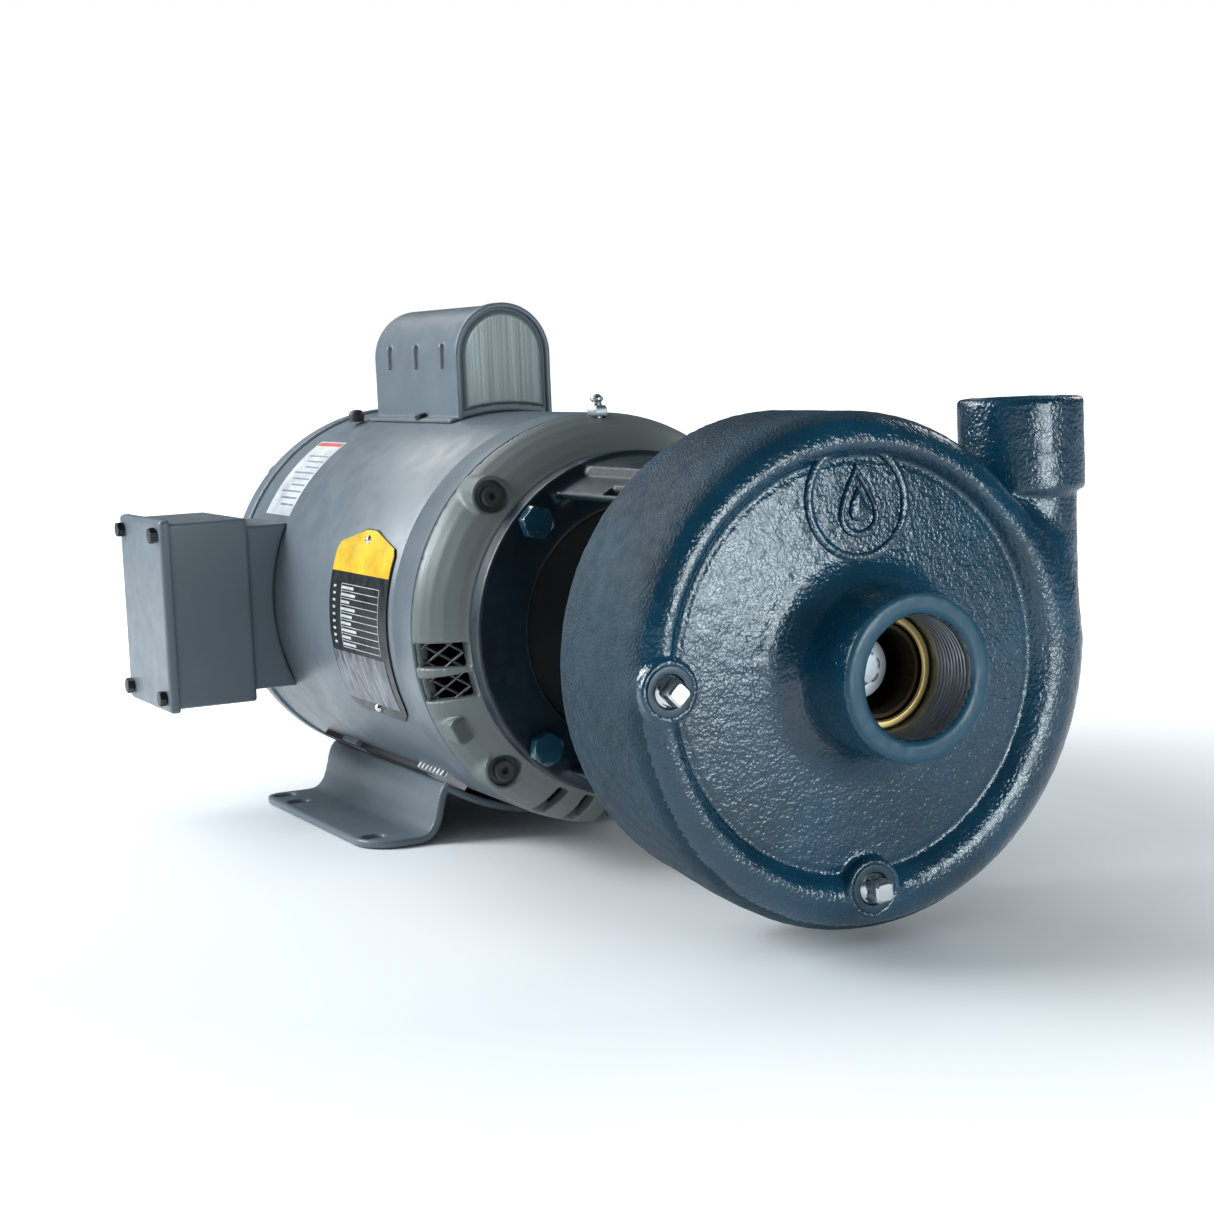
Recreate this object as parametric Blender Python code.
"""Close-coupled end-suction centrifugal water pump on an open drip-proof motor.

Every length is in millimetres and is scaled to metres when a mesh is made.
Pieces are modelled about the shaft: Y runs along the shaft, y = 0 is the pump
side of the bracket's motor flange, the suction port faces -Y and the motor is
towards +Y.  The empty shaft_axis carries all pieces and puts the foot on z = 0,
with the middle of the whole pump over the origin.
"""
import math

import bmesh
import bpy
from mathutils import Matrix, Vector

MM = 0.001
GAP = 0.3
SMALL = 8
COARSE = 12
ROUND = 20
MEDIUM = 24
FINE = 36
SHELL_STEPS = 54
SADDLE_STEPS = 60

# motor frame
SHAFT_HEIGHT = 114.3
SHELL_R = 100.3
SHELL_WALL = 1.5
SHELL_FRONT = 38.3
SHELL_REAR = 297.0
REAR_RIM_R = 101.6
REAR_RIM_END = 311.0
REAR_DOME_END = 338.0
CORE_FRONT = 130.0
CORE_REAR = 255.0
THROUGH_BOLT_R = 91.5
LUG_R = 8.2
LUG_FRONT = 18.6
SOCKET_R = 5.6
SOCKET_FLOOR = 22.6
VENT_ANGLES = (185.0, 194.8, -5.0, -14.8)
VENT_HALF = 5.3
LOUVRE_ANGLES = (245.0, 255.0, 265.0, 275.0, 285.0, 295.0)
LOUVRE_HALF = 3.0
WINDING_LENGTH = {"front": 29.0, "rear": 21.0}
WIRE_HOLE_R = 12.0
GREASE_SPOT = (0.0, 34.0)
PLUG_SPOT = (-35.0, 268.0)

# bracket between motor and pump
FLANGE_R = 82.5
FLANGE_BACK = 11.0
REGISTER_R = 57.15
BOLT_CIRCLE_R = 74.6
BARREL_R = 80.5
BARREL_WALL = 7.5
PLATE_R = 94.0
PLATE_BACK = -113.0
PLATE_FRONT = -123.6
CASING_BOLT_R = 89.0
CASING_BOLT_HOLE_R = 3.6
ARM_HALF_ANGLE = 32.0
RIB_OFFSETS = (-26.0, 0.0, 26.0)

# pump casing
CASING_REAR = -125.0
SCROLL_R = 102.0
SCROLL_GROWTH = 16.0
SCROLL_START = 200.0
SCROLL_FALL = 40.0
SCROLL_FRONT = -131.0
WIDEST_Y = -181.0
CASING_OPENING_R = 84.3
CREST_R = 90.0
CREST_Y = -195.0
FACE_R = 84.5
FACE_Y = -190.0
BOSS_R = 33.4
BOSS_Y = -232.2
SUCTION_BORE_R = 24.1
CASTING_WALL = 5.5
DISCHARGE_X = 103.0
DISCHARGE_Y = -162.0
NECK_R = 20.8
COLLAR_R = 26.6
COLLAR_BOTTOM = 63.0
COLLAR_TOP = 102.5
DISCHARGE_BORE_R = 21.1
FLARE_R = 14.0
PLUG_ANGLES = (180.0, 270.0)
PLUG_R = 89.4
PLUG_SEAT = -196.0
PLUG_BOSS_R = 12.5
PLUG_HOLE_R = 6.6

# rotating parts
IMPELLER_R = 70.0
IMPELLER_BACK = -150.0
VANES = 6
VANE_INNER_R = 27.0
VANE_SWEEP = 62.0
VANE_THICK = 3.4
SHAFT_TIP = -185.7
SHAFT_TIP_R = 11.1
SLEEVE_R = 14.0
WEAR_RING_R = 23.7
EYE_R = 19.2
CAGE_BALLS = 8

# motor fittings
COVER_HALF = 27.0
COVER_FRONT = 140.0
COVER_REAR = 260.0
COVER_TOP = 157.0
BOX_X = -163.0
BOX_BACK_X = -115.7
BOX_Y = (232.0, 313.0)
BOX_Z = (-54.0, 50.0)
THROAT_Y = (236.0, 294.0)
THROAT_Z = (-46.0, 43.6)
FOOT_Y = (104.0, 268.0)
FOOT_HALF = 103.0
FOOT_THICK = 4.0
SLOT_X = 94.0
SLOT_Y = (121.0, 235.3, 258.0)
SLOT_R = 5.2
SLOT_REACH = 1.5
SHEET = 2.0
LID_SHEET = 1.6
LID_DEPTH = 5.5
LID_SCREW_INSET = 8.0
BOARD_X = -121.0
NAMEPLATE_Y = (69.0, 146.0)
NAMEPLATE_ANGLES = (153.0, 207.0)
NAMEPLATE_THICK = 0.7

# the whole pump's box about the shaft, which puts the origin under its middle
X_RANGE = (BOX_X - 4.2, DISCHARGE_X + COLLAR_R)
Y_RANGE = (BOSS_Y, REAR_DOME_END)

FINISHES = {
    "blue_cast": ((0.012, 0.075, 0.125), 0.35, 0.0),
    "motor_paint": ((0.21, 0.25, 0.28), 0.4, 0.0),
    "bell_paint": ((0.19, 0.21, 0.20), 0.45, 0.2),
    "steel": ((0.5, 0.5, 0.5), 0.35, 1.0),
    "zinc": ((0.75, 0.76, 0.78), 0.25, 1.0),
    "bronze": ((0.62, 0.43, 0.18), 0.3, 1.0),
    "copper": ((0.45, 0.16, 0.06), 0.4, 0.8),
    "rubber": ((0.02, 0.02, 0.02), 0.7, 0.0),
    "ceramic": ((0.8, 0.78, 0.72), 0.2, 0.0),
    "carbon": ((0.03, 0.03, 0.03), 0.4, 0.0),
    "aluminium": ((0.6, 0.6, 0.6), 0.4, 1.0),
    "plastic": ((0.03, 0.03, 0.03), 0.5, 0.0),
    "plate": ((0.85, 0.6, 0.03), 0.4, 0.0),
}


def clear_scene():
    for obj in list(bpy.data.objects):
        bpy.data.objects.remove(obj, do_unlink=True)


def make_material(name, finish):
    colour, roughness, metallic = FINISHES[finish]
    material = bpy.data.materials.new(name)
    material.use_nodes = True
    shader = material.node_tree.nodes["Principled BSDF"]
    shader.inputs["Base Color"].default_value = (*colour, 1.0)
    shader.inputs["Roughness"].default_value = roughness
    shader.inputs["Metallic"].default_value = metallic
    material.diffuse_color = (*colour, 1.0)
    return material


def make_object(name, bm, finish, parent):
    """Turn a millimetre bmesh into a named object in metres."""
    bmesh.ops.remove_doubles(bm, verts=bm.verts, dist=0.001)
    bmesh.ops.recalc_face_normals(bm, faces=bm.faces)
    bmesh.ops.scale(bm, vec=(MM, MM, MM), verts=bm.verts)
    mesh = bpy.data.meshes.new(name)
    bm.to_mesh(mesh)
    bm.free()
    mesh.shade_smooth()
    mesh.set_sharp_from_angle(angle=math.radians(35.0))
    mesh.materials.append(make_material(name, finish))
    obj = bpy.data.objects.new(name, mesh)
    bpy.context.scene.collection.objects.link(obj)
    obj.parent = parent
    return obj


def combine(target, tool, operation):
    """Union or cut with a helper object, which stays in the file as a wire guide."""
    modifier = target.modifiers.new(tool.name, "BOOLEAN")
    modifier.operation = operation
    modifier.solver = "EXACT"
    modifier.object = tool
    tool.hide_render = True
    tool.display_type = "WIRE"


def polar(radius, degrees):
    angle = math.radians(degrees)
    return radius * math.cos(angle), radius * math.sin(angle)


# ---------------------------------------------------------------- mesh builders

def loft(rings, wrap=False):
    """Skin a list of equal rings; wrap joins the last ring to the first."""
    bm = bmesh.new()
    add_loft(bm, rings, wrap)
    return bm


def add_loft(bm, rings, wrap=False):
    made = [[bm.verts.new(point) for point in ring] for ring in rings]
    count = len(made[0])
    pairs = list(zip(made, made[1:]))
    if wrap:
        pairs.append((made[-1], made[0]))
    for low, high in pairs:
        for index in range(count):
            after = (index + 1) % count
            bm.faces.new((low[index], low[after], high[after], high[index]))
    if not wrap:
        bm.faces.new(made[0])
        bm.faces.new(list(reversed(made[-1])))


def turned(profile, steps):
    """Spin a closed (radius, y) outline about the shaft axis."""
    bm = bmesh.new()
    verts = [bm.verts.new((radius, y, 0.0)) for radius, y in profile]
    edges = [bm.edges.new((a, b)) for a, b in zip(verts, verts[1:] + verts[:1])]
    bmesh.ops.spin(
        bm, geom=verts + edges, cent=(0, 0, 0), axis=(0, 1, 0),
        angle=2 * math.pi, steps=steps, use_merge=True)
    bmesh.ops.remove_doubles(bm, verts=bm.verts, dist=0.001)
    return bm


def ring_profile(inner, outer, front, back):
    return [(inner, front), (outer, front), (outer, back), (inner, back)]


def circle(radius, y, count, centre=(0.0, 0.0)):
    step = 360.0 / count
    points = [polar(radius, step * index) for index in range(count)]
    return [(centre[0] + x, y, centre[1] + z) for x, z in points]


def polygon_ring(across_flats, sides, y, count, turn=0.0):
    """A regular polygon seen along Y, sampled with count points."""
    apothem = across_flats / 2
    sector = 360.0 / sides
    points = []
    for index in range(count):
        angle = index * 360.0 / count
        offset = (angle % sector) - sector / 2
        points.append(polar(apothem / math.cos(math.radians(offset)), angle + turn))
    return [(x, y, z) for x, z in points]


def add_rod(bm, radius, y0, y1, count, centre=(0.0, 0.0)):
    add_loft(bm, [circle(radius, y0, count, centre), circle(radius, y1, count, centre)])


def rod(radius, y0, y1, count, centre=(0.0, 0.0)):
    bm = bmesh.new()
    add_rod(bm, radius, y0, y1, count, centre)
    return bm


def add_block(bm, x_range, y_range, z_range, turn=0.0):
    """A box, turned about the shaft axis by turn degrees."""
    corners = [(x, z) for x, z in (
        (x_range[0], z_range[0]), (x_range[1], z_range[0]),
        (x_range[1], z_range[1]), (x_range[0], z_range[1]))]
    rotation = Matrix.Rotation(math.radians(-turn), 3, "Y")
    rings = []
    for y in y_range:
        rings.append([rotation @ Vector((x, y, z)) for x, z in corners])
    add_loft(bm, rings)


def block(x_range, y_range, z_range):
    bm = bmesh.new()
    add_block(bm, x_range, y_range, z_range)
    return bm


def bolt_holes(radius, circle_radius, y0, y1, count=SMALL):
    """Four rods on a bolt circle, at 45 degrees to the axes."""
    bm = bmesh.new()
    for index in range(4):
        add_rod(bm, radius, y0, y1, count, polar(circle_radius, 45.0 + 90.0 * index))
    return bm


def prism(outline, y0, y1):
    """Extrude an (x, z) outline along Y."""
    return loft([[(x, y, z) for x, z in outline] for y in (y0, y1)])


def arc(centre, radii, start, end, count):
    """Points on an ellipse arc in any plane, both ends included."""
    points = []
    for index in range(count):
        angle = math.radians(start + (end - start) * index / (count - 1))
        points.append((
            centre[0] + radii[0] * math.cos(angle),
            centre[1] + radii[1] * math.sin(angle)))
    return points


def place_at(obj, radius, degrees, turn=0.0):
    """Move a piece made about the shaft axis out to a bolt circle."""
    x, z = polar(radius, degrees)
    obj.location = (x * MM, 0.0, z * MM)
    obj.rotation_euler = (0.0, math.radians(turn), 0.0)


# ---------------------------------------------------------------- pump casing

def scroll_growth(degrees):
    """How far the scroll stands beyond its smallest radius at an angle."""
    if degrees >= SCROLL_START:
        return SCROLL_GROWTH * (degrees - SCROLL_START) / (360.0 - SCROLL_START)
    return SCROLL_GROWTH * max(0.0, 1.0 - degrees / SCROLL_FALL)


def casing_section(degrees):
    """The closed wall outline of the casing in the half plane at an angle."""
    growth = scroll_growth(degrees)
    widest_y = WIDEST_Y + growth
    skin = [
        (CASING_OPENING_R, CASING_REAR),
        (SCROLL_R - 1.0, CASING_REAR),
        (SCROLL_R, CASING_REAR - 1.0),
        (SCROLL_R, SCROLL_FRONT),
        (SCROLL_R + 0.7 * growth, SCROLL_FRONT + 0.3 * (widest_y - SCROLL_FRONT)),
    ]
    shoulder = (SCROLL_R - CREST_R + growth, widest_y - CREST_Y)
    skin += arc((CREST_R, widest_y), shoulder, 0, -90, 5)
    skin += [(FACE_R + 2.1, CREST_Y + 0.8), (FACE_R, FACE_Y - 1.6), (FACE_R - 0.8, FACE_Y)]
    flare = (BOSS_R + FLARE_R, FACE_Y - FLARE_R)
    skin += [(flare[0], FACE_Y)]
    skin += arc(flare, (FLARE_R, FLARE_R), 112, 180, 4)
    skin += [(BOSS_R, BOSS_Y + 1.5), (BOSS_R - 1.5, BOSS_Y), (SUCTION_BORE_R + 1.8, BOSS_Y)]
    skin += [(SUCTION_BORE_R, BOSS_Y + 1.8), (SUCTION_BORE_R, -184.5)]
    cavity_r = SCROLL_R - CASTING_WALL
    floor_r = CREST_R - 10.0
    hollow = (cavity_r - floor_r + growth, widest_y - FACE_Y - CASTING_WALL)
    skin += arc((floor_r, widest_y), hollow, -90, 0, 4)
    skin += [(cavity_r, CASING_REAR - 10.0), (CASING_OPENING_R, CASING_REAR - 9.0)]
    return skin


def discharge_circles(sections):
    """Horizontal circles (z, centre x, radius) up the discharge axis."""
    rings = []
    for z, centre_x, radius in sections:
        ring = circle(radius, 0.0, ROUND, (centre_x, DISCHARGE_Y))
        rings.append([(x, y, z) for x, _, y in ring])
    return rings


def make_casing(axis):
    sections = []
    for index in range(FINE):
        degrees = index * 360.0 / FINE
        ring = []
        for radius, y in casing_section(degrees):
            x, z = polar(radius, degrees)
            ring.append((x, y, z))
        sections.append(ring)
    casing = make_object("volute_casing", loft(sections, wrap=True), "blue_cast", axis)
    neck = loft(discharge_circles([
        (-34.0, DISCHARGE_X - 5.0, 11.0),
        (-10.0, DISCHARGE_X - 2.2, 18.0),
        (20.0, DISCHARGE_X, NECK_R),
        (COLLAR_BOTTOM - 1.0, DISCHARGE_X, NECK_R),
        (COLLAR_BOTTOM + 1.0, DISCHARGE_X, COLLAR_R - 1.2),
        (COLLAR_BOTTOM + 2.5, DISCHARGE_X, COLLAR_R),
        (COLLAR_TOP - 1.2, DISCHARGE_X, COLLAR_R),
        (COLLAR_TOP, DISCHARGE_X, COLLAR_R - 1.2),
    ]))
    combine(casing, make_object("guide_neck", neck, "blue_cast", axis), "UNION")
    bosses = bmesh.new()
    holes = bolt_holes(CASING_BOLT_HOLE_R, CASING_BOLT_R, SCROLL_FRONT, CASING_REAR + 5.0, COARSE)
    for degrees in PLUG_ANGLES:
        centre = polar(PLUG_R, degrees)
        add_rod(bosses, PLUG_BOSS_R, PLUG_SEAT, FACE_Y + 4.0, COARSE, centre)
        add_rod(holes, PLUG_HOLE_R, PLUG_SEAT - 4.0, FACE_Y + 20.0, COARSE, centre)
    combine(casing, make_object("guide_plug_bosses", bosses, "blue_cast", axis), "UNION")
    bore = loft(discharge_circles([
        (-24.0, DISCHARGE_X - 5.0, 10.0),
        (0.0, DISCHARGE_X - 2.0, 15.0),
        (80.0, DISCHARGE_X, 16.5),
        (82.0, DISCHARGE_X, DISCHARGE_BORE_R - 0.7),
        (COLLAR_TOP - 1.0, DISCHARGE_X, DISCHARGE_BORE_R),
        (COLLAR_TOP + 1.0, DISCHARGE_X, DISCHARGE_BORE_R + 2.0),
    ]))
    combine(casing, make_object("guide_discharge_bore", bore, "blue_cast", axis), "DIFFERENCE")
    combine(casing, make_object("guide_casing_holes", holes, "blue_cast", axis), "DIFFERENCE")


def make_plugs(axis):
    names = ("side_plug", "drain_plug")
    for name, degrees, turn in zip(names, PLUG_ANGLES, (0.0, 45.0)):
        rings = [
            polygon_ring(7.4, 4, PLUG_SEAT - 8.2, COARSE),
            polygon_ring(8.6, 4, PLUG_SEAT - 7.6, COARSE),
            polygon_ring(8.6, 4, PLUG_SEAT - 1.6, COARSE),
            circle(PLUG_HOLE_R - GAP, PLUG_SEAT - 1.4, COARSE),
            circle(PLUG_HOLE_R - 0.5, PLUG_SEAT + 12.0, COARSE),
        ]
        plug = make_object(name, loft(rings), "zinc", axis)
        place_at(plug, PLUG_R, degrees, turn)


def make_wear_ring(axis):
    profile = ring_profile(EYE_R + GAP, WEAR_RING_R, -205.0, -186.0)
    make_object("wear_ring", turned(profile, MEDIUM), "bronze", axis)


def make_gasket(axis):
    profile = ring_profile(
        CASING_OPENING_R + GAP, PLATE_R - 2 * GAP, CASING_REAR + GAP, PLATE_FRONT - GAP)
    gasket = make_object("casing_gasket", turned(profile, MEDIUM), "rubber", axis)
    holes = bolt_holes(CASING_BOLT_HOLE_R, CASING_BOLT_R, SCROLL_FRONT, CASING_REAR + 5.0, COARSE)
    combine(gasket, make_object("guide_gasket_holes", holes, "rubber", axis), "DIFFERENCE")


# ---------------------------------------------------------------- bracket

def window_outline(side):
    """The side window between the arms, as a wedge seen along the shaft."""
    half = 90.0 - ARM_HALF_ANGLE
    middle = 90.0 + side * 90.0
    outer = [polar(PLATE_R + 18.0, middle + half * step / 2) for step in (-2, -1, 0, 1, 2)]
    hub_r = BARREL_R - 18.5
    inner = [polar(hub_r, middle + half), polar(hub_r, middle - half)]
    return outer + inner


def make_bracket(axis):
    inner = BARREL_R - BARREL_WALL
    profile = [
        (REGISTER_R + GAP, FLANGE_BACK), (FLANGE_R, FLANGE_BACK), (FLANGE_R, 0.0),
        (BARREL_R, -0.4), (BARREL_R, PLATE_BACK), (PLATE_R, PLATE_BACK),
        (PLATE_R, PLATE_FRONT), (CASING_OPENING_R - 0.5, PLATE_FRONT),
        (CASING_OPENING_R - 0.5, -133.0), (24.5, -133.0), (24.5, -120.0),
        (15.5, -120.0), (15.5, PLATE_BACK + 1.0), (30.0, PLATE_BACK + 1.0),
        (36.0, PLATE_BACK - 6.0), (66.0, PLATE_BACK - 6.0),
        (inner, PLATE_BACK + 4.0), (inner, -0.4), (REGISTER_R + GAP, -0.4),
    ]
    bracket = make_object("bracket", turned(profile, FINE), "blue_cast", axis)
    ribs = bmesh.new()
    for arm in (90.0, 270.0):
        for offset in RIB_OFFSETS:
            add_block(ribs, (inner + 2.0, BARREL_R + 4.0), (PLATE_BACK - 2.0, 5.0),
                      (-3.5, 3.5), arm + offset)
    combine(bracket, make_object("guide_ribs", ribs, "blue_cast", axis), "UNION")
    for side, label in ((1, "left"), (-1, "right")):
        window = prism(window_outline(side), PLATE_BACK + 5.0, -0.8)
        guide = make_object("guide_window_" + label, window, "blue_cast", axis)
        combine(bracket, guide, "DIFFERENCE")
    holes = bolt_holes(5.1, BOLT_CIRCLE_R, -3.0, 15.0)
    combine(bracket, make_object("guide_flange_holes", holes, "blue_cast", axis), "DIFFERENCE")
    small = bolt_holes(CASING_BOLT_HOLE_R, CASING_BOLT_R, -127.0, -110.0)
    combine(bracket, make_object("guide_plate_holes", small, "blue_cast", axis), "DIFFERENCE")


def hex_bolt(name, axis, across, head, shank, count):
    """A hex bolt: head is (outer y, seat y), shank is (radius, tip y)."""
    chamfer_y = head[0] + math.copysign(1.0, head[1] - head[0])
    rings = [
        circle(across * 0.46, head[0], count),
        polygon_ring(across, 6, chamfer_y, count),
        polygon_ring(across, 6, head[1], count),
        circle(shank[0], head[1], count),
        circle(shank[0], shank[1], count),
    ]
    return make_object(name, loft(rings), "blue_cast", axis)


def make_bracket_bolts(axis):
    for index in range(4):
        bolt = hex_bolt(
            "bracket_bolt_%d" % (index + 1), axis, 14.3,
            (-7.4, -0.8 - GAP), (4.6, 22.0), COARSE)
        place_at(bolt, BOLT_CIRCLE_R, 45.0 + 90.0 * index)
    for index in range(4):
        bolt = hex_bolt(
            "casing_bolt_%d" % (index + 1), axis, 10.0,
            (-107.5, PLATE_BACK + GAP), (3.1, -130.0), 6)
        place_at(bolt, CASING_BOLT_R, 45.0 + 90.0 * index)


# ---------------------------------------------------------------- rotating parts

def add_vane(bm, start):
    """One backward-curved vane between the shrouds."""
    rings = []
    for index in range(6):
        share = index / 5.0
        radius = VANE_INNER_R + (IMPELLER_R - 1.0 - VANE_INNER_R) * share
        bearing = start + VANE_SWEEP * share
        half = math.degrees(VANE_THICK / 2 / radius)
        front = -176.5 + 13.5 * share
        a = polar(radius, bearing - half)
        b = polar(radius, bearing + half)
        back = IMPELLER_BACK - 2.0
        rings.append([(a[0], front, a[1]), (b[0], front, b[1]),
                      (b[0], back, b[1]), (a[0], back, a[1])])
    add_loft(bm, rings)


def make_impeller(axis):
    bore = SHAFT_TIP_R + GAP
    back = [
        (bore, -186.2), (13.0, -186.2), (15.5, -176.0), (22.0, -160.0),
        (34.0, -154.6), (IMPELLER_R, -153.6), (IMPELLER_R, IMPELLER_BACK),
        (bore, IMPELLER_BACK),
    ]
    impeller = make_object("impeller", turned(back, MEDIUM), "bronze", axis)
    front = [
        (EYE_R - 1.6, -203.0), (EYE_R, -203.0), (EYE_R, -183.6), (26.0, -181.0),
        (IMPELLER_R, -167.0), (IMPELLER_R, -163.6), (26.0, -175.6), (EYE_R - 1.6, -178.6),
    ]
    combine(impeller, make_object("guide_shroud", turned(front, MEDIUM), "bronze", axis), "UNION")
    vanes = bmesh.new()
    for index in range(VANES):
        add_vane(vanes, index * 360.0 / VANES)
    combine(impeller, make_object("guide_vanes", vanes, "bronze", axis), "UNION")
    slot = block((-2.7, 2.7), (-190.0, -145.0), (6.0, 13.4))
    combine(impeller, make_object("guide_impeller_keyway", slot, "bronze", axis), "DIFFERENCE")


def make_shaft(axis):
    profile = [
        (0.0, SHAFT_TIP), (SHAFT_TIP_R - 0.6, SHAFT_TIP), (SHAFT_TIP_R, SHAFT_TIP + 0.6),
        (SHAFT_TIP_R, -98.0), (12.7, -98.0), (12.7, 2.0), (14.7, 2.0), (14.7, 36.0),
        (17.0, 36.0), (17.0, 284.0), (12.2, 284.0), (12.2, 319.0), (0.0, 319.0),
    ]
    shaft = make_object("motor_shaft", turned(profile, MEDIUM), "steel", axis)
    slot = block((-2.7, 2.7), (-182.0, -154.0), (8.6, 14.0))
    combine(shaft, make_object("guide_shaft_keyway", slot, "steel", axis), "DIFFERENCE")
    tapped = rod(4.9, -190.0, -160.0, COARSE)
    combine(shaft, make_object("guide_tapped_end", tapped, "steel", axis), "DIFFERENCE")


def make_impeller_fastening(axis):
    key = block((-2.38, 2.38), (-181.0, -155.0), (8.9, 13.1))
    make_object("impeller_key", key, "steel", axis)
    washer = turned(ring_profile(5.0, 13.0, -189.6, -186.6), MEDIUM)
    make_object("impeller_washer", washer, "zinc", axis)
    rings = [
        circle(6.2, -194.6, COARSE), polygon_ring(13.0, 6, -193.8, COARSE),
        polygon_ring(13.0, 6, -189.9, COARSE), circle(4.5, -189.9, COARSE),
        circle(4.5, -162.0, COARSE),
    ]
    make_object("impeller_screw", loft(rings), "zinc", axis)


def make_seal(axis):
    sleeve = turned(ring_profile(SHAFT_TIP_R + GAP, SLEEVE_R, -149.6, -98.4), MEDIUM)
    make_object("shaft_sleeve", sleeve, "bronze", axis)
    slinger = turned([
        (SLEEVE_R + GAP, -106.0), (18.0, -106.0), (26.0, -103.0),
        (26.0, -101.0), (SLEEVE_R + GAP, -99.5)], MEDIUM)
    make_object("slinger", slinger, "rubber", axis)
    cup = turned([
        (21.4, -132.6), (24.2, -132.6), (24.2, -120.3), (16.0, -120.3),
        (16.0, -122.6), (21.4, -122.6)], MEDIUM)
    make_object("seal_cup", cup, "rubber", axis)
    make_object("seal_seat", turned(ring_profile(15.2, 21.1, -131.8, -122.9), MEDIUM), "ceramic", axis)
    face = turned([
        (SLEEVE_R + GAP, -137.8), (20.0, -137.8), (20.0, -134.6),
        (18.0, -134.2), (18.0, -132.1), (SLEEVE_R + GAP, -132.1)], MEDIUM)
    make_object("seal_face", face, "carbon", axis)
    make_spring(axis)


def make_spring(axis):
    """The seal's coil spring, a swept helix with closed ends."""
    turns = 2.5
    wire = 0.9
    coil_r = 17.6
    front = IMPELLER_BACK + GAP + wire
    back = -138.1 - wire
    rings = []
    steps = 30
    for index in range(steps + 1):
        share = index / steps
        angle = 360.0 * turns * share
        y = front + (back - front) * share
        ring = []
        for corner in range(5):
            across, along = polar(wire, corner * 72.0)
            x, z = polar(coil_r + across, angle)
            ring.append((x, y + along, z))
        rings.append(ring)
    make_object("seal_spring", loft(rings), "steel", axis)


def make_rotor(axis):
    profile = [
        (17.0 + GAP, CORE_FRONT), (30.0, CORE_FRONT), (34.0, CORE_FRONT - 12.0),
        (48.0, CORE_FRONT - 12.0), (51.4, CORE_FRONT), (51.4, CORE_REAR),
        (48.0, CORE_REAR + 12.0), (34.0, CORE_REAR + 12.0), (30.0, CORE_REAR),
        (17.0 + GAP, CORE_REAR),
    ]
    make_object("rotor_core", turned(profile, MEDIUM), "steel", axis)
    fan_hub = [(17.0 + GAP, 50.0), (24.0, 50.0), (24.0, 60.0), (62.0, 62.0),
               (62.0, 64.0), (17.0 + GAP, 64.0)]
    fan = make_object("cooling_fan", turned(fan_hub, MEDIUM), "aluminium", axis)
    blades = bmesh.new()
    for index in range(9):
        add_block(blades, (21.0, 60.0), (48.0, 62.5), (-1.2, 1.2), index * 40.0)
    combine(fan, make_object("guide_fan_blades", blades, "aluminium", axis), "UNION")


def make_bearing(axis, label, shaft_r, bore_r, front, back):
    """A deep groove ball bearing in three pieces: two races and a caged ball set."""
    pitch = (shaft_r + bore_r) / 2
    ball = (bore_r - shaft_r) * 0.27
    middle = (front + back) / 2
    inner = ring_profile(shaft_r, pitch - ball - GAP, front, back)
    outer = ring_profile(pitch + ball + GAP, bore_r, front, back)
    make_object(label + "_bearing_inner_race", turned(inner, ROUND), "steel", axis)
    make_object(label + "_bearing_outer_race", turned(outer, ROUND), "steel", axis)
    cage_ring = ring_profile(pitch - 1.0, pitch + 1.0, middle - 2.6, middle + 2.6)
    cage = make_object(label + "_bearing_ball_cage", turned(cage_ring, ROUND), "steel", axis)
    balls = bmesh.new()
    for index in range(CAGE_BALLS):
        x, z = polar(pitch, index * 360.0 / CAGE_BALLS)
        spot = Matrix.Translation((x, middle, z))
        bmesh.ops.create_uvsphere(balls, u_segments=6, v_segments=4, radius=ball, matrix=spot)
    combine(cage, make_object("guide_balls_" + label, balls, "steel", axis), "UNION")


def make_switch(axis):
    """Centrifugal starting switch: a collar on the shaft and a fixed contact plate."""
    collar = [(17.0 + GAP, 268.6), (24.0, 268.6), (24.0, 271.0), (33.0, 272.0),
              (33.0, 275.0), (17.0 + GAP, 275.0)]
    make_object("switch_collar", turned(collar, MEDIUM), "plastic", axis)
    plate = ring_profile(27.0, 62.0, 278.4, 280.8)
    make_object("switch_plate", turned(plate, MEDIUM), "plastic", axis)


# ---------------------------------------------------------------- motor

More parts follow.
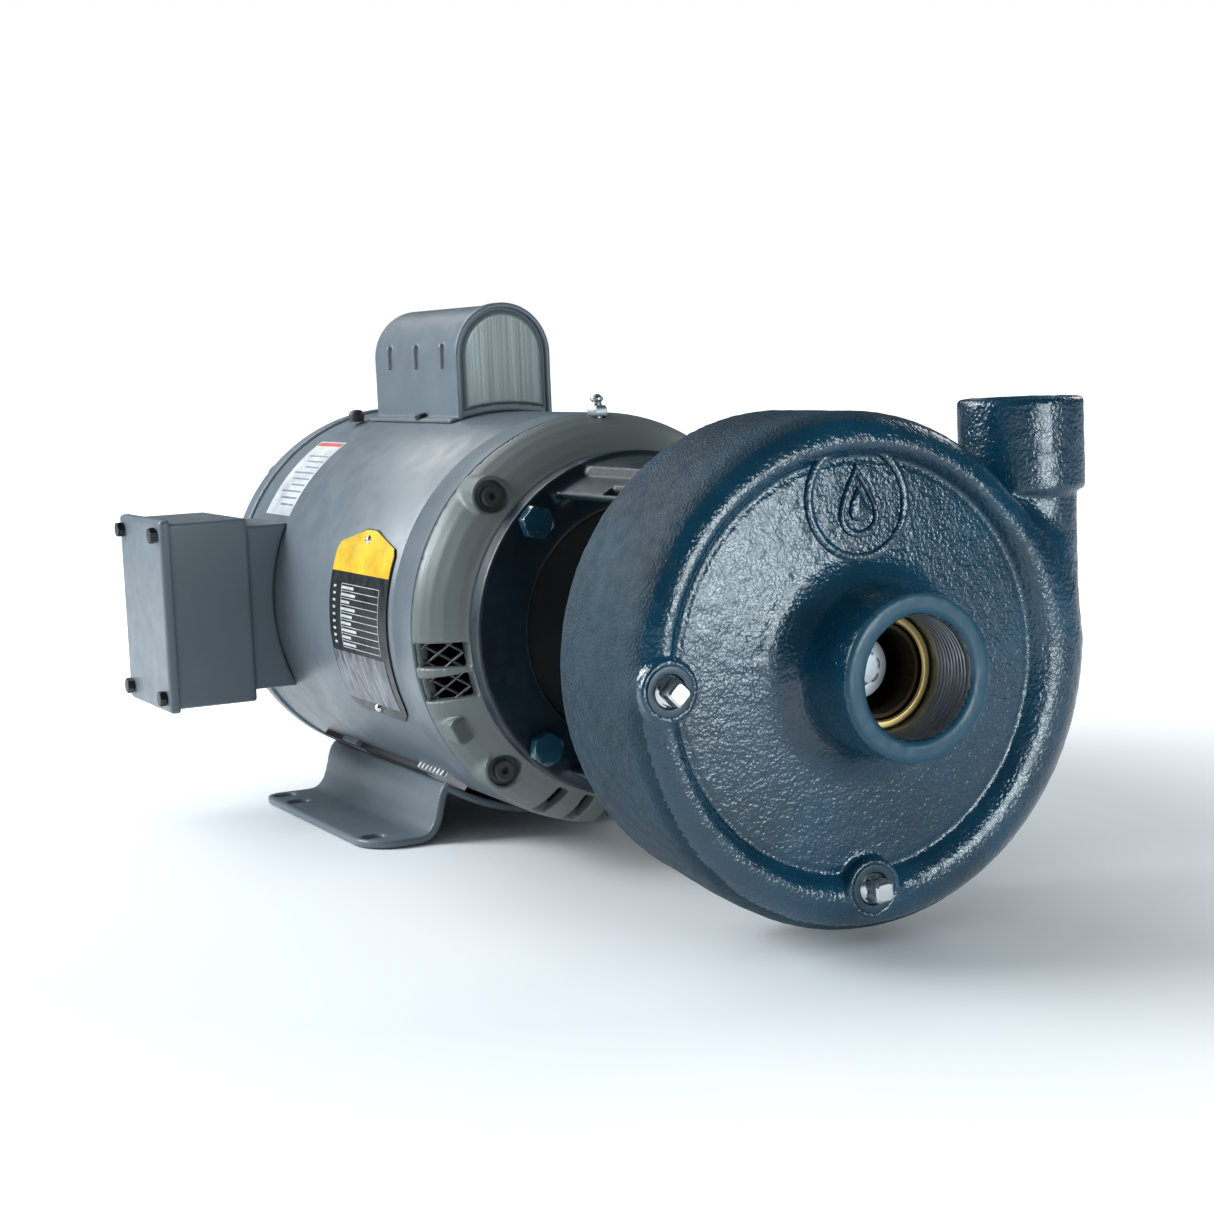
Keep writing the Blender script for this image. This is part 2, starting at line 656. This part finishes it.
def make_front_bell(axis):
    inner = SHELL_R - SHELL_WALL - GAP
    profile = [
        (18.5, 5.0), (REGISTER_R, 5.0), (REGISTER_R, FLANGE_BACK + GAP),
        (82.6, FLANGE_BACK + GAP), (83.6, 14.0), (90.5, 20.0), (96.5, 28.0),
        (SHELL_R, 36.6), (SHELL_R, 38.0), (inner, 38.0), (inner, 46.0), (94.0, 46.0),
        (92.0, 32.0), (80.0, 19.0), (41.0, 18.6), (41.0, 36.6), (31.3, 36.6),
        (31.3, 18.6), (18.5, 18.6),
    ]
    bell = make_object("front_bell", turned(profile, FINE), "bell_paint", axis)
    lugs = bolt_holes(LUG_R, THROUGH_BOLT_R, LUG_FRONT, 37.0, COARSE)
    combine(bell, make_object("guide_lugs", lugs, "bell_paint", axis), "UNION")
    cuts = bmesh.new()
    for middle in VENT_ANGLES:
        add_block(cuts, (84.4, 108.0), (8.0, 35.4), (-VENT_HALF, VENT_HALF), middle)
    for middle in LOUVRE_ANGLES:
        add_block(cuts, (84.4, 108.0), (8.0, 33.0), (-LOUVRE_HALF, LOUVRE_HALF), middle)
    combine(bell, make_object("guide_vents", cuts, "bell_paint", axis), "DIFFERENCE")
    holes = bolt_holes(SOCKET_R, THROUGH_BOLT_R, 15.0, SOCKET_FLOOR)
    combine(bell, make_object("guide_sockets", holes, "bell_paint", axis), "DIFFERENCE")
    bores = bolt_holes(3.0, THROUGH_BOLT_R, 21.0, 50.0)
    combine(bell, make_object("guide_bolt_bores", bores, "bell_paint", axis), "DIFFERENCE")
    taps = bolt_holes(5.0, BOLT_CIRCLE_R, 9.0, 24.0)
    combine(bell, make_object("guide_taps", taps, "bell_paint", axis), "DIFFERENCE")
    grease = bmesh.new()
    add_loft(grease, vertical_rings([(85.0, 3.4), (120.0, 3.4)], COARSE, GREASE_SPOT))
    combine(bell, make_object("guide_grease_hole", grease, "bell_paint", axis), "DIFFERENCE")


def make_rear_bell(axis):
    inner = SHELL_R - SHELL_WALL - GAP
    rim = SHELL_REAR + GAP
    profile = [
        (0.0, REAR_DOME_END), (30.0, REAR_DOME_END), (52.0, REAR_DOME_END - 4.0),
        (82.0, REAR_DOME_END - 9.0), (96.0, REAR_DOME_END - 17.0),
        (REAR_RIM_R, REAR_RIM_END), (REAR_RIM_R, rim), (inner, rim), (inner, 290.0),
        (84.0, 290.0), (84.0, 312.0), (76.0, 322.0), (40.0, 328.0), (36.0, 328.0),
        (36.0, 298.0), (26.3, 298.0), (26.3, 322.0), (0.0, 322.0),
    ]
    bell = make_object("rear_bell", turned(profile, FINE), "motor_paint", axis)
    bores = bolt_holes(3.0, THROUGH_BOLT_R, 285.0, 308.0)
    combine(bell, make_object("guide_rear_bores", bores, "motor_paint", axis), "DIFFERENCE")
    vents = bmesh.new()
    for index in range(8):
        add_block(vents, (52.0, 74.0), (310.0, 345.0), (-3.5, 3.5), 22.5 + 45.0 * index)
    combine(bell, make_object("guide_rear_vents", vents, "motor_paint", axis), "DIFFERENCE")


def make_shell(axis):
    profile = ring_profile(SHELL_R - SHELL_WALL, SHELL_R, SHELL_FRONT, SHELL_REAR)
    shell = make_object("motor_shell", turned(profile, SHELL_STEPS), "motor_paint", axis)
    middle_y = sum(THROAT_Y) / 2
    rings = []
    for x in (-SHELL_R - 10.0, -SHELL_R + 10.0):
        rings.append([(x, middle_y + a, b) for a, _, b in circle(WIRE_HOLE_R, 0.0, COARSE)])
    wire_hole = loft(rings)
    guide = make_object("guide_wire_hole", wire_hole, "motor_paint", axis)
    combine(shell, guide, "DIFFERENCE")


def core_sections(outer_r, inner_r, slot_r, count):
    """Stator lamination outline: slots inside and bolt notches outside."""
    inner = []
    outer = []
    for index in range(count):
        degrees = index * 360.0 / count
        in_slot = index % 4 in (2, 3)
        inner.append(polar(slot_r if in_slot else inner_r, degrees))
        near_bolt = abs((degrees % 90.0) - 45.0) < 4.5
        outer.append(polar(outer_r - 12.0 if near_bolt else outer_r, degrees))
    return inner, outer


def make_stator(axis):
    outer_r = SHELL_R - SHELL_WALL - GAP
    inner, outer = core_sections(outer_r, 52.1, 66.0, 96)
    rings = []
    for outline, y in ((inner, CORE_FRONT), (outer, CORE_FRONT),
                       (outer, CORE_REAR), (inner, CORE_REAR)):
        rings.append([(x, y, z) for x, z in outline])
    make_object("stator_core", loft(rings, wrap=True), "steel", axis)
    for label, start, sign in (("front", CORE_FRONT, -1), ("rear", CORE_REAR, 1)):
        length = WINDING_LENGTH[label]
        profile = [
            (57.0, start + sign * GAP), (57.0, start + sign * (length - 4.0)),
            (61.0, start + sign * length), (79.0, start + sign * length),
            (84.0, start + sign * (length - 4.0)), (84.0, start + sign * GAP),
        ]
        make_object(label + "_winding", turned(profile, MEDIUM), "copper", axis)


def make_through_bolts(axis):
    for index in range(4):
        rings = [
            circle(5.2, 19.4, SMALL), circle(5.2, 22.2, SMALL),
            circle(2.6, 22.2, SMALL), circle(2.6, 306.0, SMALL),
        ]
        bolt = make_object("through_bolt_%d" % (index + 1), loft(rings), "steel", axis)
        place_at(bolt, THROUGH_BOLT_R, 45.0 + 90.0 * index)


def foot_path():
    """Half of the pressed foot's middle line, from under the shell outwards."""
    rest_r = SHELL_R + GAP + FOOT_THICK / 2
    path = arc((0.0, 0.0), (rest_r, rest_r), 270.0, 236.0, 8)
    low = -SHAFT_HEIGHT + FOOT_THICK / 2
    curve = [Vector(path[-1]), Vector((-64.5, -92.5)), Vector((-61.0, low)), Vector((-76.0, low))]
    for index in range(1, 8):
        t = index / 7.0
        s = 1.0 - t
        point = (curve[0] * s ** 3 + curve[1] * 3 * s * s * t
                 + curve[2] * 3 * s * t * t + curve[3] * t ** 3)
        path.append((point.x, point.y))
    path.append((-FOOT_HALF, low))
    return path


def make_foot(axis):
    half = foot_path()
    mirrored = [(-x, z) for x, z in half]
    path = list(reversed(mirrored)) + half[1:]
    upper = []
    lower = []
    for index, (x, z) in enumerate(path):
        before = path[max(index - 1, 0)]
        after = path[min(index + 1, len(path) - 1)]
        along = Vector((after[0] - before[0], after[1] - before[1])).normalized()
        across = Vector((along.y, -along.x)) * (FOOT_THICK / 2)
        upper.append((x + across.x, z + across.y))
        lower.append((x - across.x, z - across.y))
    foot = make_object("base_foot", prism(upper + list(reversed(lower)), *FOOT_Y),
                       "motor_paint", axis)
    plan = []
    for corner, radius, start in (((-1, 0), 24.0, 180.0), ((1, 0), 24.0, 270.0),
                                  ((1, 1), 10.0, 0.0), ((-1, 1), 10.0, 90.0)):
        x = corner[0] * (FOOT_HALF + 1.0 - radius)
        y = FOOT_Y[0] + radius if corner[1] == 0 else FOOT_Y[1] - radius
        plan += arc((x, y), (radius, radius), start, start + 90.0, 5)
    rings = [[(x, y, z) for x, y in plan] for z in (-130.0, -70.0)]
    combine(foot, make_object("guide_foot_plan", loft(rings), "motor_paint", axis), "INTERSECT")
    slots = bmesh.new()
    for side in (-1, 1):
        for y in SLOT_Y:
            outline = arc((side * SLOT_X + SLOT_REACH, y), (SLOT_R, SLOT_R), -90.0, 90.0, 13)
            outline += arc((side * SLOT_X - SLOT_REACH, y), (SLOT_R, SLOT_R), 90.0, 270.0, 13)
            add_loft(slots, [[(px, py, z) for px, py in outline] for z in (-120.0, -105.0)])
    combine(foot, make_object("guide_foot_slots", slots, "motor_paint", axis), "DIFFERENCE")


def make_conduit_box(axis):
    lid_inner = BOX_X + LID_SHEET
    box = make_object("conduit_box", block(
        (lid_inner + GAP, BOX_BACK_X), (BOX_Y[0] + SHEET, BOX_Y[1] - SHEET),
        (BOX_Z[0] + SHEET, BOX_Z[1] - SHEET)), "motor_paint", axis)
    throat = block((BOX_BACK_X - 1.0, -82.0), THROAT_Y, THROAT_Z)
    combine(box, make_object("guide_throat", throat, "motor_paint", axis), "UNION")
    hollow = block((BOX_X - 17.0, BOX_BACK_X - SHEET),
                   (BOX_Y[0] + 2 * SHEET, BOX_Y[1] - 2 * SHEET),
                   (BOX_Z[0] + 2 * SHEET, BOX_Z[1] - 2 * SHEET))
    combine(box, make_object("guide_box_hollow", hollow, "motor_paint", axis), "DIFFERENCE")
    duct = block((-140.0, -70.0), (THROAT_Y[0] + SHEET, THROAT_Y[1] - SHEET),
                 (THROAT_Z[0] + SHEET, THROAT_Z[1] - SHEET))
    combine(box, make_object("guide_duct", duct, "motor_paint", axis), "DIFFERENCE")
    saddle = rod(SHELL_R + GAP, THROAT_Y[0] - 36.0, THROAT_Y[1] + 1.0, SADDLE_STEPS)
    combine(box, make_object("guide_saddle", saddle, "motor_paint", axis), "DIFFERENCE")
    lid = make_object("conduit_lid", block((BOX_X, BOX_X + LID_DEPTH), BOX_Y, BOX_Z),
                      "motor_paint", axis)
    inside = block((lid_inner, BOX_X + LID_DEPTH + 7.0),
                   (BOX_Y[0] + LID_SHEET, BOX_Y[1] - LID_SHEET),
                   (BOX_Z[0] + LID_SHEET, BOX_Z[1] - LID_SHEET))
    combine(lid, make_object("guide_lid_inside", inside, "motor_paint", axis), "DIFFERENCE")
    holes = bmesh.new()
    index = 0
    for y in (BOX_Y[0] + LID_SCREW_INSET, BOX_Y[1] - LID_SCREW_INSET):
        for z in (BOX_Z[0] + LID_SCREW_INSET, BOX_Z[1] - LID_SCREW_INSET):
            index += 1
            add_block(holes, (BOX_X - 5.0, BOX_X + 5.0), (y - 2.6, y + 2.6), (z - 2.6, z + 2.6))
            make_lid_screw(axis, "lid_screw_%d" % index, y, z)
    combine(lid, make_object("guide_lid_holes", holes, "motor_paint", axis), "DIFFERENCE")
    board = block((BOARD_X, BOARD_X + 1.0), (250.0, 296.0), (-34.0, 32.0))
    board_obj = make_object("terminal_board", board, "plastic", axis)
    studs = bmesh.new()
    for row in range(3):
        for column in range(2):
            add_block(studs, (BOARD_X - 7.0, BOARD_X + 0.5),
                      (259.0 + 24.0 * column, 263.0 + 24.0 * column),
                      (-22.0 + 20.0 * row, -18.0 + 20.0 * row))
    combine(board_obj, make_object("guide_studs", studs, "plastic", axis), "UNION")


def make_lid_screw(axis, name, y, z):
    rings = []
    for x, radius in ((BOX_X - 4.2, 3.4), (BOX_X - 3.2, 4.3), (BOX_X - GAP, 4.3),
                      (BOX_X - GAP, 2.1), (BOX_X + 9.0, 2.1)):
        ring = circle(radius, 0.0, SMALL)
        rings.append([(x, y + a, z + b) for a, _, b in ring])
    make_object(name, loft(rings), "plastic", axis)


def arch_outline(half, top, bottom, count):
    """A window shape: straight sides under a round head."""
    points = arc((0.0, top - half), (half, half), 0.0, 180.0, count)
    return points + [(-half, bottom), (half, bottom)]


def make_capacitor(axis):
    cover = make_object("capacitor_cover", prism(
        arch_outline(COVER_HALF, COVER_TOP, 80.0, 15), COVER_FRONT, COVER_REAR),
        "motor_paint", axis)
    hollow = prism(arch_outline(COVER_HALF - LID_SHEET, COVER_TOP - LID_SHEET, 70.0, 15),
                   COVER_FRONT + LID_SHEET, COVER_REAR - LID_SHEET)
    combine(cover, make_object("guide_cover_hollow", hollow, "motor_paint", axis), "DIFFERENCE")
    saddle = rod(SHELL_R + GAP, COVER_FRONT - 10.0, COVER_REAR + 10.0, SADDLE_STEPS)
    combine(cover, make_object("guide_cover_saddle", saddle, "motor_paint", axis), "DIFFERENCE")
    can = rod(19.0, COVER_FRONT + 10.0, COVER_REAR - 14.0, MEDIUM, (0.0, 128.0))
    make_object("capacitor", can, "plastic", axis)


def vertical_rings(sections, count, centre):
    """Circles (z, radius) stacked up at a centre (x, y)."""
    rings = []
    for z, radius in sections:
        ring = circle(radius, 0.0, count)
        rings.append([(centre[0] + a, centre[1] + b, z) for a, _, b in ring])
    return rings


def make_small_fittings(axis):
    fitting = vertical_rings([
        (90.0, 3.0), (100.4, 3.0), (100.4, 5.2), (103.4, 5.2), (103.6, 2.6),
        (105.6, 2.2), (106.4, 3.2), (108.0, 3.1), (109.2, 1.6)], COARSE, GREASE_SPOT)
    make_object("grease_fitting", loft(fitting), "zinc", axis)
    plug = vertical_rings([
        (95.6, 4.2), (99.0, 4.4), (101.4, 3.6), (102.4, 1.8)], COARSE, PLUG_SPOT)
    make_object("shell_plug", loft(plug), "plastic", axis)
    base = SHELL_R + GAP
    rings = []
    for radius, y in ((base, NAMEPLATE_Y[0]), (base + NAMEPLATE_THICK, NAMEPLATE_Y[0]),
                      (base + NAMEPLATE_THICK, NAMEPLATE_Y[1]), (base, NAMEPLATE_Y[1])):
        ring = arc((0.0, 0.0), (radius, radius), *NAMEPLATE_ANGLES, 15)
        rings.append([(x, y, z) for x, z in ring])
    make_object("nameplate", loft_strip(rings), "plate", axis)


def loft_strip(rows):
    """Skin four open rows into a closed curved strip with end caps."""
    bm = bmesh.new()
    made = [[bm.verts.new(point) for point in row] for row in rows]
    last = len(made[0]) - 1
    for row in range(4):
        this = made[row]
        after = made[(row + 1) % 4]
        for index in range(last):
            bm.faces.new((this[index], this[index + 1], after[index + 1], after[index]))
    bm.faces.new([made[row][0] for row in range(4)])
    bm.faces.new([made[row][last] for row in (3, 2, 1, 0)])
    return bm


def build():
    clear_scene()
    axis = bpy.data.objects.new("shaft_axis", None)
    bpy.context.scene.collection.objects.link(axis)
    axis.location = (
        -sum(X_RANGE) / 2 * MM,
        -sum(Y_RANGE) / 2 * MM,
        SHAFT_HEIGHT * MM,
    )
    make_casing(axis)
    make_plugs(axis)
    make_wear_ring(axis)
    make_gasket(axis)
    make_bracket(axis)
    make_bracket_bolts(axis)
    make_impeller(axis)
    make_shaft(axis)
    make_impeller_fastening(axis)
    make_seal(axis)
    make_rotor(axis)
    make_bearing(axis, "front", 15.0, 31.0, 19.0, 35.0)
    make_bearing(axis, "rear", 12.5, 26.0, 300.0, 315.0)
    make_switch(axis)
    make_front_bell(axis)
    make_rear_bell(axis)
    make_shell(axis)
    make_stator(axis)
    make_through_bolts(axis)
    make_foot(axis)
    make_conduit_box(axis)
    make_capacitor(axis)
    make_small_fittings(axis)


build()
